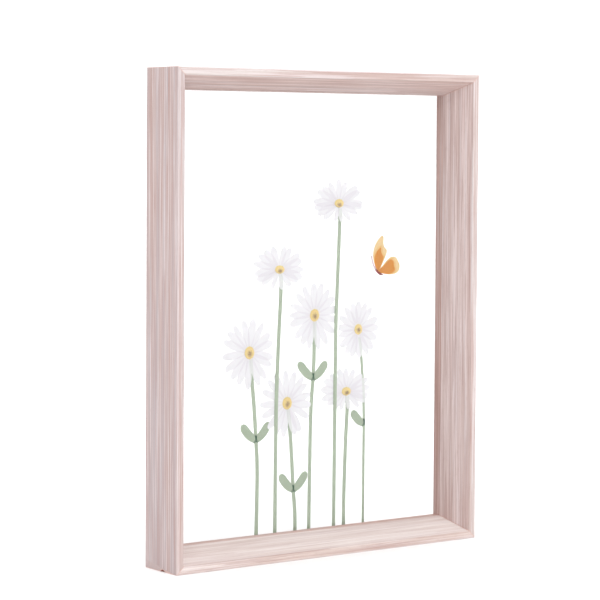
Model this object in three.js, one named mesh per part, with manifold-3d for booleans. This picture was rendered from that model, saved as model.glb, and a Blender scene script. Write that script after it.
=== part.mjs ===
// A pressed flower frame: a slim, deep wooden frame that stands on its lower edge and holds seven
// pressed daisies and a small butterfly between two clear panes.
//
// Units are millimetres. Seen from the front, X runs to the right and Z up, and the front faces -Y.
// The origin is the middle of the underside. Depths are measured backwards from the front face.

import * as THREE from "three";
import { mergeVertices } from "three/addons/utils/BufferGeometryUtils.js";
import Module from "manifold-3d";

const wasm = await Module();
wasm.setup();

// The clear opening between the lips, and the moulding around it
const CLEAR_WIDTH = 152.5;
const CLEAR_HEIGHT = 203.3;
const RAIL_WIDTH = 9.75;
const RAIL_DEPTH = 25.6;
const FACE_WIDTH = 3.5;
const SLOPE_END = 15.1;
const LIP_END = 20.0;
const REBATE_WIDTH = 4.0;
const OUTER_ROUNDING = 0.6;
const INNER_ROUNDING = 0.35;
const MITRE_GAP = 0.06;

// The panes, which rest on the lower rail
const PANE_THICKNESS = 1.5;
const PANE_PLAY = 0.4;
const PANE_ARRIS = 0.2;

// The specimens lie in layers between the panes, from front to back
const TOUCHING_GAP = 0.03;
const PANE_GAP = 0.05;
const PETAL_THICKNESS = 0.15;
const DISC_THICKNESS = 0.38;
const STEM_THICKNESS = 0.4;
const LEAF_THICKNESS = 0.2;
const WING_THICKNESS = 0.2;
const BUTTERFLY_THICKNESS = 0.5;

// The steel points that hold the panes in, in the top and bottom rails
const POINT_WIDTH = 6.0;
const POINT_THICKNESS = 0.5;
const POINT_SEATED = 3.0;
const POINT_SHOWING = 2.6;
const POINT_SPACING = 52.0;
const POINT_SLOT_PLAY = 0.1;
const POINT_SHOULDER = 1.2;
const POINT_TIP_WIDTH = 0.6;

// A chip in the lower edge of the left side
const CHIP_LENGTH = 3.2;
const CHIP_HEIGHT = 0.7;
const CHIP_REACH = 0.9;
const CHIP_DEPTH = 11.2;

// Petals and stems that all daisies share
const PETALS = 17;
const PETAL_WIDTH = 3.8;
const PETAL_BASE_WIDTH = 0.9;
const PETAL_NARROW_PART = 0.4;
const PETAL_WIDEST = 0.68;
const PETAL_UNEVEN = 0.22;
const FULL_PETAL = 13;
const HUB_RADIUS = 2;
const STEM_WIDTH = 1.7;
const STEM_ARRIS = 0.12;
const STEM_STEPS = 10;
const STEM_FOOT = 7.0;

const DEGREE = Math.PI / 180;
const CUT_PAST = 1;
const CUTTER_SIZE = 60;
const WIDTH = CLEAR_WIDTH + 2 * RAIL_WIDTH;
const HEIGHT = CLEAR_HEIGHT + 2 * RAIL_WIDTH;
const REBATE_WALL = RAIL_WIDTH - REBATE_WIDTH;

// Depths of the layers, each behind the one before
const FRONT_PANE = LIP_END + PANE_GAP;
const FRONT_DISCS = FRONT_PANE + PANE_THICKNESS + PANE_GAP;
const FRONT_PETALS = FRONT_DISCS + DISC_THICKNESS + TOUCHING_GAP;
const FRONT_STEMS = FRONT_PETALS + PETAL_THICKNESS + TOUCHING_GAP;
const REAR_PETALS = FRONT_STEMS + STEM_THICKNESS + TOUCHING_GAP;
const REAR_STEMS = REAR_PETALS + PETAL_THICKNESS + TOUCHING_GAP;
const BACK_PANE = REAR_STEMS + STEM_THICKNESS + PANE_GAP;
const POINTS = BACK_PANE + PANE_THICKNESS + PANE_GAP;

// Each daisy: the middle of its disc, how far the petals reach from there, the disc's width and height,
// the line of its stem from under the petals to the foot, and whether it lies in the front layers.
// They are numbered from the tallest.
const DAISIES = [
  {
    x: 18.5, z: 161.7, left: 15.1, right: 14.3, down: 9.0, up: 11.1, disc: [5.7, 4.1], turn: 4,
    front: true,
    stem: [[18.9, 160], [19.3, 152.8], [17.6, 110.2], [17.3, 88.4], [16.8, STEM_FOOT]],
  },
  {
    x: -15.7, z: 131.5, left: 15.0, right: 14.4, down: 9.4, up: 11.1, disc: [5.7, 4.0], turn: -3,
    front: true,
    stem: [[-15.2, 130], [-14.6, 122.6], [-16.0, 94.4], [-17.0, 63.5], [-17.4, STEM_FOOT]],
  },
  {
    x: 5.0, z: 109.5, left: 15.0, right: 14.6, down: 16.1, up: 15.9, disc: [5.8, 6.3], turn: 8,
    front: false,
    stem: [[5.1, 107], [5.2, 93.3], [4.7, 80.6], [3.5, 64.7], [2.6, 38.1], [2.1, STEM_FOOT]],
    trimmedRight: 17.1,
  },
  {
    x: 30.9, z: 101.8, left: 12.4, right: 12.7, down: 14.1, up: 13.7, disc: [4.9, 5.3], turn: 2,
    front: false,
    stem: [[31.4, 99], [32.9, 90.6], [33.9, 80.2], [34.9, 62.4], [34.6, 35.5], [34.3, STEM_FOOT]],
    stemWidth: 1.3, trimmedLeft: 19.4,
  },
  {
    x: -32.1, z: 93.7, left: 15.0, right: 14.4, down: 16.8, up: 15.9, disc: [5.8, 6.3], turn: -6,
    front: false,
    stem: [[-31.4, 91], [-30.0, 77.9], [-28.9, 66.7], [-28.0, 54.2], [-27.4, 38.0], [-28.0, STEM_FOOT]],
  },
  {
    x: 24.0, z: 72.7, left: 15.1, right: 14.2, down: 9.3, up: 11.2, disc: [5.8, 4.2], turn: 5,
    front: false,
    stem: [[24.5, 71], [24.9, 63.7], [24.1, 48.6], [23.0, 24.3], [22.7, STEM_FOOT]],
  },
  {
    x: -10.6, z: 69.2, left: 15.1, right: 14.5, down: 16.8, up: 16.0, disc: [5.8, 6.3], turn: 11,
    front: false,
    stem: [[-10.0, 67], [-8.4, 54.5], [-7.4, 41.9], [-6.6, 29.9], [-5.9, 17.8], [-5.9, STEM_FOOT]],
  },
];

// Each leaf: the daisy that it grows on, its side, the height where it joins the stem, and its tip
const LEAVES = [
  { daisy: 3, side: "left", joint: 80.9, tip: [-4.0, 87.9] },
  { daisy: 3, side: "right", joint: 80.9, tip: [12.4, 87.5] },
  { daisy: 4, side: "left", joint: 57.4, tip: [27.6, 63.1] },
  { daisy: 5, side: "left", joint: 53.9, tip: [-36.1, 60.7] },
  { daisy: 5, side: "right", joint: 53.9, tip: [-20.4, 61.0] },
  { daisy: 7, side: "left", joint: 29.2, tip: [-14.3, 36.1] },
  { daisy: 7, side: "right", joint: 29.2, tip: [1.0, 36.3] },
];
const LEAF_WIDTH = 4.1;
const LEAF_TIP_WIDTH = 0.3;
const LEAF_BLUNT_FROM = 0.7;
const LEAF_SAG = 0.9;
const LEAF_LEAN = 0.4;
const LEAF_STEPS = 12;
const FULL_LEAF = 9.5;
const LEAF_GAP = 0.05;

// The butterfly rests with its wings half closed, seen from its left side
const FOREWING = [
  [42.2, 129.9], [40.2, 133.0], [39.4, 136.6], [40.1, 139.9], [42.3, 143.3], [44.8, 145.8],
  [45.7, 145.0], [45.6, 142.4], [46.2, 140.6], [47.6, 139.2], [47.4, 137.2], [45.6, 133.6],
];
const HINDWING = [
  [42.9, 129.3], [45.3, 131.7], [48.0, 134.3], [50.4, 135.7], [53.0, 135.6], [54.4, 134.0],
  [55.6, 131.6], [55.2, 129.3], [53.3, 127.8], [49.6, 127.3], [45.4, 127.9],
];
const BUTTERFLY_BODY = [
  [38.0, 136.6], [38.5, 133.6], [39.6, 130.8], [41.6, 128.6], [43.6, 127.4], [45.6, 126.9],
];
const WING_STEPS = 3;
const BODY_STEPS = 14;
const BODY_WIDTH = 0.95;
const ANTENNA_WIDTH = 0.4;
const TAIL_WIDTH = 0.3;
const ANTENNA_SHARE = 0.42;
const TAIL_SHARE = 0.8;

// A small even variation between -1 and 1 that differs from petal to petal
function vary(number, salt) {
  const wave = Math.sin(number * 12.9898 + salt * 4.1414) * 43758.5453;
  return 2 * (wave - Math.floor(wave)) - 1;
}

function toSolid(geometry) {
  const plain = geometry.clone();
  plain.deleteAttribute("normal");
  plain.deleteAttribute("uv");
  const merged = mergeVertices(plain, 1e-4);
  return new wasm.Manifold(
    new wasm.Mesh({
      numProp: 3,
      vertProperties: merged.attributes.position.array,
      triVerts: new Uint32Array(merged.index.array),
    }),
  );
}

function toGeometry(solid) {
  const mesh = solid.getMesh();
  const geometry = new THREE.BufferGeometry();
  geometry.setAttribute("position", new THREE.BufferAttribute(mesh.vertProperties, 3));
  geometry.setIndex(new THREE.BufferAttribute(mesh.triVerts, 1));
  geometry.computeVertexNormals();
  return geometry;
}

function cut(geometry, cutters) {
  let solid = toSolid(geometry);
  for (const cutter of cutters) {
    solid = solid.subtract(toSolid(cutter));
  }
  return toGeometry(solid);
}

function join(geometries) {
  let solid = toSolid(geometries[0]);
  for (const geometry of geometries.slice(1)) {
    solid = solid.add(toSolid(geometry));
  }
  return toGeometry(solid);
}

// A flat piece of the given outline, drawn in X and Z as seen from the front, between two depths
function sheet(shape, depth, thickness, arris = 0) {
  const geometry = new THREE.ExtrudeGeometry(shape, {
    depth: thickness - 2 * arris,
    bevelEnabled: arris > 0,
    bevelThickness: arris,
    bevelSize: arris,
    bevelOffset: -arris,
    bevelSegments: 1,
  });
  geometry.rotateX(Math.PI / 2);
  geometry.translate(0, depth + thickness - arris, 0);
  return geometry;
}

function material(color, roughness, metalness = 0, opacity = 1) {
  return new THREE.MeshStandardMaterial({ color, roughness, metalness, opacity, transparent: opacity < 1 });
}

function mesh(name, geometry, itsMaterial) {
  const made = new THREE.Mesh(geometry, itsMaterial);
  made.name = name;
  return made;
}

const washedWood = () => material(0xe2cfca, 0.6);
const clearAcrylic = () => material(0xfbfcfd, 0.05, 0, 0.2);
const steel = () => material(0x9b9a98, 0.35, 0.9);
const petalWhite = () => material(0xf4f3f8, 0.75);
const discYellow = () => material(0xe6cb74, 0.85);
const stemGreen = () => material(0xaabba5, 0.7);
const leafGreen = () => material(0xb2c0aa, 0.7);
const wingOrange = () => material(0xe09a52, 0.7);
const bodyBrown = () => material(0x7a3530, 0.7);

// The moulding's section: x runs inwards from the outer edge, y is the depth
function mouldingSection() {
  const slope = new THREE.Vector2(RAIL_WIDTH - FACE_WIDTH, SLOPE_END).normalize();
  const r = OUTER_ROUNDING;
  const i = INNER_ROUNDING;
  const section = new THREE.Shape();
  section.moveTo(r, 0);
  section.lineTo(FACE_WIDTH - i, 0);
  section.quadraticCurveTo(FACE_WIDTH, 0, FACE_WIDTH + i * slope.x, i * slope.y);
  section.lineTo(RAIL_WIDTH, SLOPE_END);
  section.lineTo(RAIL_WIDTH, LIP_END);
  section.lineTo(REBATE_WALL, LIP_END);
  section.lineTo(REBATE_WALL, RAIL_DEPTH);
  section.lineTo(r, RAIL_DEPTH);
  section.absarc(r, RAIL_DEPTH - r, r, Math.PI / 2, Math.PI);
  section.lineTo(0, r);
  section.absarc(r, r, r, Math.PI, 1.5 * Math.PI);
  return section;
}

// A length of moulding with its outer edge on the X axis, its inner edge towards +Z and mitred ends
function mitredLength(length) {
  const options = { depth: 1, bevelEnabled: false, curveSegments: 3 };
  const geometry = new THREE.ExtrudeGeometry(mouldingSection(), options);
  const position = geometry.getAttribute("position");
  for (let n = 0; n < position.count; n += 1) {
    const inwards = position.getX(n);
    const along = (0.5 - position.getZ(n)) * (length - 2 * inwards - MITRE_GAP);
    position.setXYZ(n, along, position.getY(n), inwards);
  }
  geometry.computeVertexNormals();
  return geometry;
}

function boxCutter(width, depth, height, x, y, z) {
  return new THREE.BoxGeometry(width, depth, height).translate(x, y, z);
}

// A slot for each steel point, cut into the wall of the rebate
function pointSlots() {
  const play = 2 * POINT_SLOT_PLAY;
  const height = POINT_SEATED + POINT_SLOT_PLAY + CUT_PAST;
  const middle = POINTS + POINT_THICKNESS / 2;
  const z = REBATE_WALL + CUT_PAST - height / 2;
  return [-1, 0, 1].map((place) =>
    boxCutter(POINT_WIDTH + play, POINT_THICKNESS + play, height, place * POINT_SPACING, middle, z),
  );
}

// The chip is a small wedge in the outer corner where the lower rail meets the left stile
function chipCutter(x, z) {
  const wedge = new THREE.CylinderGeometry(1, 1, CHIP_LENGTH, 7);
  return wedge.scale(CHIP_REACH, 1, CHIP_HEIGHT).translate(x, CHIP_DEPTH, z);
}

function rails() {
  const level = mitredLength(WIDTH);
  const upright = mitredLength(HEIGHT);
  const lower = cut(level, [...pointSlots(), chipCutter(-WIDTH / 2, 0)]);
  const bottom = mesh("bottom_rail", lower, washedWood());
  const top = mesh("top_rail", cut(level, pointSlots()), washedWood());
  const left = mesh("left_stile", cut(upright, [chipCutter(HEIGHT / 2, 0)]), washedWood());
  const right = mesh("right_stile", upright, washedWood());
  top.rotation.y = Math.PI;
  top.position.set(0, 0, HEIGHT);
  left.rotation.y = Math.PI / 2;
  left.position.set(-WIDTH / 2, 0, HEIGHT / 2);
  right.rotation.y = -Math.PI / 2;
  right.position.set(WIDTH / 2, 0, HEIGHT / 2);
  return [top, bottom, left, right];
}

function pane(name, depth) {
  const width = WIDTH - 2 * REBATE_WALL - PANE_PLAY;
  const height = HEIGHT - 2 * REBATE_WALL - PANE_PLAY;
  const foot = REBATE_WALL + PANE_GAP;
  const shape = new THREE.Shape();
  shape.moveTo(-width / 2, foot);
  shape.lineTo(width / 2, foot);
  shape.lineTo(width / 2, foot + height);
  shape.lineTo(-width / 2, foot + height);
  return mesh(name, sheet(shape, depth, PANE_THICKNESS, PANE_ARRIS), clearAcrylic());
}

// A steel point: a flat blade with a pointed end in the wood
function glazingPoint(name, x, wall, inwards) {
  const half = POINT_WIDTH / 2;
  const shape = new THREE.Shape();
  shape.moveTo(x - half, wall + inwards * POINT_SHOWING);
  shape.lineTo(x - half, wall - inwards * POINT_SHOULDER);
  shape.lineTo(x - POINT_TIP_WIDTH / 2, wall - inwards * POINT_SEATED);
  shape.lineTo(x + POINT_TIP_WIDTH / 2, wall - inwards * POINT_SEATED);
  shape.lineTo(x + half, wall - inwards * POINT_SHOULDER);
  shape.lineTo(x + half, wall + inwards * POINT_SHOWING);
  return mesh(name, sheet(shape, POINTS, POINT_THICKNESS), steel());
}

function glazingPoints() {
  const places = ["left", "middle", "right"];
  return places.flatMap((place, n) => {
    const x = (n - 1) * POINT_SPACING;
    return [
      glazingPoint(`glazing_point_top_${place}`, x, HEIGHT - REBATE_WALL, -1),
      glazingPoint(`glazing_point_bottom_${place}`, x, REBATE_WALL, 1),
    ];
  });
}

// A long petal along +X: it widens from the disc to its widest place, and half an ellipse ends it
function petalShape(length, width) {
  const side = [
    new THREE.Vector2(0, PETAL_BASE_WIDTH / 2),
    new THREE.Vector2(PETAL_NARROW_PART * length, 0.42 * width),
  ];
  for (const degrees of [0, 35, 65]) {
    const turn = degrees * DEGREE;
    const along = PETAL_WIDEST + (1 - PETAL_WIDEST) * Math.sin(turn);
    side.push(new THREE.Vector2(along * length, 0.5 * width * Math.cos(turn)));
  }
  const other = side.map((point) => new THREE.Vector2(point.x, -point.y)).reverse();
  return new THREE.Shape([...side, new THREE.Vector2(length, 0), ...other]);
}

// The petals of one daisy, joined where they overlap round the disc
function petalRing(daisy, number, depth) {
  const petals = [];
  for (let n = 0; n < PETALS; n += 1) {
    const turned = (n + PETAL_UNEVEN * vary(n, number)) / PETALS;
    const angle = turned * 2 * Math.PI + daisy.turn * DEGREE;
    const across = Math.cos(angle) * (Math.cos(angle) > 0 ? daisy.right : daisy.left);
    const upwards = Math.sin(angle) * (Math.sin(angle) > 0 ? daisy.up : daisy.down);
    const length = Math.hypot(across, upwards) * (0.98 + 0.04 * vary(n, number + 7));
    const full = PETAL_WIDTH * (0.9 + 0.1 * vary(n, number + 3));
    const width = full * Math.min(1, length / FULL_PETAL);
    const petal = sheet(petalShape(length, width), 0, PETAL_THICKNESS);
    petal.rotateY(-Math.atan2(upwards, across));
    petals.push(petal.translate(daisy.x, depth, daisy.z));
  }
  const hub = new THREE.CylinderGeometry(HUB_RADIUS, HUB_RADIUS, PETAL_THICKNESS, 12);
  petals.push(hub.translate(daisy.x, depth + PETAL_THICKNESS / 2, daisy.z));
  return trimmed(join(petals), daisy);
}

// Petals that meet the tall stem end there
function trimmed(geometry, daisy) {
  const size = CUTTER_SIZE;
  if (daisy.trimmedRight) {
    const x = daisy.trimmedRight + size / 2;
    return cut(geometry, [boxCutter(size, size, size, x, RAIL_DEPTH, daisy.z)]);
  }
  if (daisy.trimmedLeft) {
    const x = daisy.trimmedLeft - size / 2;
    return cut(geometry, [boxCutter(size, size, size, x, RAIL_DEPTH, daisy.z)]);
  }
  return geometry;
}

// The yellow disc is a low dome, flat at the back
function disc(daisy, depth) {
  const [width, height] = daisy.disc;
  const t = DISC_THICKNESS;
  const profile = [[0, 0], [0.5, 0.08], [0.85, 0.45], [1, 0.85], [0.96, 1], [0, 1]];
  const points = profile.map(([out, back]) => new THREE.Vector2(out, back * t));
  const dome = new THREE.LatheGeometry(points, 14);
  return dome.scale(width / 2, 1, height / 2).translate(daisy.x, depth, daisy.z);
}

// A strip along a smooth line, as wide at each place as widthAt says
function strip(line, steps, widthAt) {
  const curve = new THREE.SplineCurve(line.map(([x, z]) => new THREE.Vector2(x, z)));
  const near = [];
  const far = [];
  for (let n = 0; n <= steps; n += 1) {
    const share = n / steps;
    const point = curve.getPointAt(share);
    const along = curve.getTangentAt(share);
    const side = new THREE.Vector2(-along.y, along.x).multiplyScalar(widthAt(share) / 2);
    near.push(point.clone().add(side));
    far.unshift(point.clone().sub(side));
  }
  return new THREE.Shape([...near, ...far]);
}

function stem(daisy, depth) {
  const width = daisy.stemWidth ?? STEM_WIDTH;
  const shape = strip(daisy.stem, STEM_STEPS, () => width);
  return sheet(shape, depth, STEM_THICKNESS, STEM_ARRIS);
}

function daisyPieces(daisy, number) {
  const name = `daisy_${number}`;
  const discDepth = daisy.front ? FRONT_DISCS : REAR_PETALS - TOUCHING_GAP - DISC_THICKNESS;
  const petalDepth = daisy.front ? FRONT_PETALS : REAR_PETALS;
  const stemDepth = daisy.front ? FRONT_STEMS : REAR_STEMS;
  return [
    mesh(`${name}_disc`, disc(daisy, discDepth), discYellow()),
    mesh(`${name}_petals`, petalRing(daisy, number, petalDepth), petalWhite()),
    mesh(`${name}_stem`, stem(daisy, stemDepth), stemGreen()),
  ];
}

// Where the middle of a stem is at a height
function stemMiddle(daisy, z) {
  const curve = new THREE.SplineCurve(daisy.stem.map(([x, y]) => new THREE.Vector2(x, y)));
  const points = curve.getSpacedPoints(200);
  const off = (point) => Math.abs(point.y - z);
  return points.reduce((best, point) => (off(point) < off(best) ? point : best)).x;
}

// A blunt leaf that leaves the stem at a slant, nearly straight above and full below
function leaf({ daisy: number, side, joint, tip }) {
  const daisy = DAISIES[number - 1];
  const out = side === "left" ? -1 : 1;
  const x = stemMiddle(daisy, joint) + out * (daisy.stemWidth ?? STEM_WIDTH) / 2;
  const middle = [(x + tip[0]) / 2 - out * LEAF_LEAN, (joint + tip[1]) / 2 - LEAF_SAG];
  const width = LEAF_WIDTH * Math.min(1, Math.hypot(tip[0] - x, tip[1] - joint) / FULL_LEAF);
  const widthAt = (share) => {
    const opened = THREE.MathUtils.smoothstep(share, -0.55, 0.5);
    const blunt = THREE.MathUtils.clamp((share - LEAF_BLUNT_FROM) / (1 - LEAF_BLUNT_FROM), 0, 1);
    return Math.max(LEAF_TIP_WIDTH, width * opened * Math.sqrt(1 - blunt * blunt));
  };
  const outline = strip([[x, joint], middle, tip], LEAF_STEPS, widthAt);
  const blade = sheet(outline, REAR_STEMS, LEAF_THICKNESS);
  return mesh(`daisy_${number}_leaf_${side}`, clearOfStems(blade), leafGreen());
}

// A leaf ends where it meets a stem
function clearOfStems(blade) {
  const stems = DAISIES.filter((daisy) => !daisy.front).map((daisy) => {
    const wide = (daisy.stemWidth ?? STEM_WIDTH) + 2 * LEAF_GAP;
    const outline = strip(daisy.stem, STEM_STEPS, () => wide);
    return sheet(outline, REAR_STEMS - CUT_PAST, STEM_THICKNESS + 2 * CUT_PAST);
  });
  return largestPiece(cut(blade, stems));
}

function largestPiece(geometry) {
  const pieces = toSolid(geometry).decompose();
  const largest = pieces.reduce((best, piece) => (piece.volume() > best.volume() ? piece : best));
  return toGeometry(largest);
}

function closedSpline(points) {
  const corners = points.map(([x, z]) => new THREE.Vector3(x, z, 0));
  const curve = new THREE.CatmullRomCurve3(corners, true, "centripetal");
  const round = curve.getPoints(WING_STEPS * points.length).slice(0, -1);
  return new THREE.Shape(round.map((point) => new THREE.Vector2(point.x, point.y)));
}

function butterfly() {
  const wingDepth = FRONT_STEMS + (STEM_THICKNESS - WING_THICKNESS) / 2;
  const bodyDepth = FRONT_STEMS - (BUTTERFLY_THICKNESS - STEM_THICKNESS) / 2;
  const bodyWidth = (share) => {
    const grown = THREE.MathUtils.smoothstep(share, ANTENNA_SHARE - 0.08, ANTENNA_SHARE + 0.2);
    const ending = THREE.MathUtils.smoothstep(share, TAIL_SHARE, 1);
    const full = THREE.MathUtils.lerp(ANTENNA_WIDTH, BODY_WIDTH, grown);
    return THREE.MathUtils.lerp(full, TAIL_WIDTH, ending);
  };
  const body = sheet(strip(BUTTERFLY_BODY, BODY_STEPS, bodyWidth), bodyDepth, BUTTERFLY_THICKNESS);
  return [
    mesh("butterfly_forewing", sheet(closedSpline(FOREWING), wingDepth, WING_THICKNESS), wingOrange()),
    mesh("butterfly_hindwing", sheet(closedSpline(HINDWING), wingDepth, WING_THICKNESS), wingOrange()),
    mesh("butterfly_body", body, bodyBrown()),
  ];
}

const flowerFrame = new THREE.Group();
flowerFrame.position.y = -RAIL_DEPTH / 2;
flowerFrame.add(...rails());
flowerFrame.add(pane("front_pane", FRONT_PANE), pane("back_pane", BACK_PANE));
flowerFrame.add(...glazingPoints());
DAISIES.forEach((daisy, n) => flowerFrame.add(...daisyPieces(daisy, n + 1)));
LEAVES.forEach((each) => flowerFrame.add(leaf(each)));
flowerFrame.add(...butterfly());

const part = new THREE.Group();
part.add(flowerFrame);

export default part;
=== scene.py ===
import bisect
import math

import bmesh
import bpy
from bpy.props import FloatProperty, FloatVectorProperty, IntProperty, PointerProperty
from mathutils import Matrix, Vector
from mathutils.geometry import delaunay_2d_cdt


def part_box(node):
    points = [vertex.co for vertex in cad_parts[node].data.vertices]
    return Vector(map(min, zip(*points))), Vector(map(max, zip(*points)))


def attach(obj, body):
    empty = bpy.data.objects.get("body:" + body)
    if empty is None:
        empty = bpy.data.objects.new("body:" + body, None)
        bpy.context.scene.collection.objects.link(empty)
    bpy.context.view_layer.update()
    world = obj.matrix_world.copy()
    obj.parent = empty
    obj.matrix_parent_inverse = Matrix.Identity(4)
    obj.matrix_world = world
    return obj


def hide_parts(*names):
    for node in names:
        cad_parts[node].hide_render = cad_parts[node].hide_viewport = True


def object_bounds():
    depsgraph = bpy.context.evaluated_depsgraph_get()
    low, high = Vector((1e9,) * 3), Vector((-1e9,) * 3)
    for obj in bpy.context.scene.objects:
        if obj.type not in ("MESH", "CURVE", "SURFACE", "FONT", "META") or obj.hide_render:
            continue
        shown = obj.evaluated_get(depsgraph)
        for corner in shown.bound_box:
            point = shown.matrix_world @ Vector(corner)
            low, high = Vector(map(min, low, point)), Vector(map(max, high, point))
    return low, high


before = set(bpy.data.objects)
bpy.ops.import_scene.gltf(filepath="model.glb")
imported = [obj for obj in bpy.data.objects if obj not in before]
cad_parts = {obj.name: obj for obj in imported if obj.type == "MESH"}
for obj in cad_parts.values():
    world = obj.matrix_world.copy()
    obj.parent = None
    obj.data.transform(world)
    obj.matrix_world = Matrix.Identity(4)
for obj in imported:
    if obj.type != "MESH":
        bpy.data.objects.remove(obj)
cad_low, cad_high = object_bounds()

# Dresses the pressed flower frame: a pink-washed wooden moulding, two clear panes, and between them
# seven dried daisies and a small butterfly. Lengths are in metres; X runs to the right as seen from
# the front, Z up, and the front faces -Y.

bl_info = {
    "name": "Pressed Flower Frame",
    "version": (1, 0, 0),
    "blender": (4, 5, 0),
    "location": "3D View > Sidebar > Flower Frame",
    "description": "Builds the finished look of a pressed flower frame around its solids",
    "category": "Add Mesh",
}

MM = 0.001

# The side of the photograph in pixels
PHOTO_SIDE = 600

# The turn from one floret to the next in a sunflower
GOLDEN_ANGLE = math.radians(137.508)

# Upright on its lower edge: flat drawings have X to the right, Y up and Z towards the viewer
STANDING = Matrix.Rotation(math.radians(90), 4, "X")

# The rails in order round the frame, and how each is coloured: its colour on the slope, which is painted
# light, lighter than the outer wash to lift the shade in the recess, lightest on the bottom rail, which faces
# up, and darkest on the top rail, which faces down; how much of the grain the wash hides there; and how thick
# the wash lies on the front face
RAILS = {
    "bottom_rail": ("E8DED9", 0.5, 0.95),
    "right_stile": ("E5D4D1", 0.1, 0.4),
    "top_rail": ("DFC8C2", 0.0, 0.5),
    "left_stile": ("E4D3D3", 0.1, 0.25),
}

# The layers of streaks in the wood: their colour, how far they cover the wash, their cycles per metre
# along and across the board, the detail of their noise, and where in it they begin and are full
STREAKS = (
    ("warm", 0.60, 6, 400, 3, 0.42, 0.60),
    ("grain", 0.42, 11, 1000, 4, 0.47, 0.60),
    ("pale", 0.60, 12, 1250, 3, 0.51, 0.60),
    ("grain", 0.48, 26, 2100, 2, 0.53, 0.60),
    ("grain", 0.30, 260, 4200, 1, 0.60, 0.72),
)

# Each daisy, as the solids have it: how far its petals reach to the left, right, down and up, how many
# degrees they are turned, and the line of its stem from under the petals to its foot, in millimetres
DAISIES = (
    {"reach": (15.1, 14.3, 9.0, 11.1), "turn": 4,
     "stem": ((18.9, 160), (19.3, 152.8), (17.6, 110.2), (17.3, 88.4), (16.8, 7))},
    {"reach": (15.0, 14.4, 9.4, 11.1), "turn": -3,
     "stem": ((-15.2, 130), (-14.6, 122.6), (-16.0, 94.4), (-17.0, 63.5), (-17.4, 7))},
    {"reach": (15.0, 14.6, 16.1, 15.9), "turn": 8,
     "stem": ((5.1, 107), (5.2, 93.3), (4.7, 80.6), (3.5, 64.7), (3.0, 38.1), (2.6, 7))},
    {"reach": (12.4, 12.7, 14.1, 13.7), "turn": 2,
     "stem": ((31.4, 99), (32.9, 90.6), (33.9, 80.2), (34.9, 62.4), (34.9, 35.5), (34.8, 7))},
    {"reach": (15.0, 14.4, 16.8, 15.9), "turn": -6,
     "stem": ((-31.4, 91), (-30.0, 77.9), (-28.9, 66.7), (-28.0, 54.2), (-27.1, 38.0), (-27.6, 7))},
    {"reach": (15.1, 14.2, 9.3, 11.2), "turn": 5,
     "stem": ((24.5, 71), (24.9, 63.7), (24.1, 48.6), (23.3, 24.3), (23.2, 7))},
    {"reach": (15.1, 14.5, 16.8, 16.0), "turn": 11,
     "stem": ((-10.0, 67), (-8.4, 54.5), (-7.4, 41.9), (-6.6, 29.9), (-5.5, 17.8), (-5.4, 7))},
)

# The daisy with the thinner stem
THIN_DAISY = 4

# Petals and leaves shorter than these are narrower in proportion
FULL_PETAL = 13 * MM
FULL_LEAF = 9.5 * MM

# How far the foot of a leaf lies below the height where the leaf joins its stem
FOOT_DROP = 1.3 * MM

# The dark lens on a stem where leaves join it: half its height, how far it sits below the joint, and
# a joint far below the floor, for a stem that has no leaves
LENS_HALF_HEIGHT = 1.9 * MM
LENS_DROP = 0.1 * MM
NO_JOINT = -1.0

# Each leaf: its daisy, its side, the height where it joins the stem, and its tip, in millimetres
LEAVES = (
    (3, "left", 80.9, (-4.0, 87.9)),
    (3, "right", 80.9, (12.4, 87.5)),
    (4, "left", 57.4, (27.6, 63.1)),
    (5, "left", 53.9, (-36.1, 60.7)),
    (5, "right", 53.9, (-20.4, 61.0)),
    (7, "left", 29.2, (-14.3, 36.1)),
    (7, "right", 29.2, (1.0, 36.3)),
)

# The butterfly in millimetres: the root of its wings, each wing's outline, its deep orange patch and
# the ends of its veins, and the line from the antennae to the tail
WING_ROOT = Vector((42.4, 129.0))
WINGS = {
    "forewing": (
        ((42.3, 129.0), (40.2, 133.0), (39.4, 136.6), (39.9, 139.9), (41.7, 143.3), (44.4, 145.9),
         (45.6, 145.3), (45.6, 142.4), (46.2, 140.6), (47.6, 139.2), (47.4, 137.2), (45.6, 133.6)),
        ((42.1, 128.7), (40.2, 133.2), (40.4, 136.2), (41.7, 138.6), (43.9, 140.4), (44.3, 138.0),
         (45.6, 135.6), (44.6, 132.8)),
        ((40.4, 138.0), (42.2, 142.4), (44.6, 145.2), (45.4, 141.0), (46.9, 138.2), (46.0, 135.2))),
    "hindwing": (
        ((42.2, 128.9), (45.3, 131.7), (48.0, 134.3), (50.4, 135.7), (53.0, 135.6), (54.4, 134.0),
         (55.6, 131.6), (55.2, 129.3), (53.3, 127.8), (49.6, 127.3), (45.4, 127.9)),
        ((41.8, 128.6), (45.6, 131.4), (48.2, 133.6), (50.2, 134.5), (51.9, 133.4), (52.1, 131.6),
         (52.8, 129.6), (51.0, 128.0), (47.4, 127.4)),
        ((48.6, 134.5), (51.8, 135.4), (54.2, 133.6), (55.2, 130.6), (53.0, 128.2), (48.8, 127.7))),
}
BUTTERFLY_BODY = ((38.4, 136.6), (39.1, 133.5), (40.3, 131.0), (41.9, 129.1), (43.7, 127.8), (45.5, 127.3))


def tint(code):
    """A colour for a shader from the usual six-digit code of a paint."""
    channels = [int(code[n:n + 2], 16) / 255 for n in (0, 2, 4)]
    return tuple(c / 12.92 if c <= 0.04045 else ((c + 0.055) / 1.055) ** 2.4 for c in channels)


# The second tones of the finishes
STEEL_DARK, STEEL_PALE, TARNISH = map(tint, ("8D8C89", "B4B3AF", "7A7165"))
PETAL_MOTTLE, FLORET_TIP, STEM_BLOTCH = map(tint, ("E9E6E0", "E6D08A", "A7B59B"))
LEAF_VEIN, LEAF_MARGIN, WING_EDGE, WING_VEIN = map(tint, ("B4C2A8", "84987C", "FBEBC8", "B4713A"))


def shade(colour, factor):
    return tuple(factor * c for c in colour)


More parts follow.
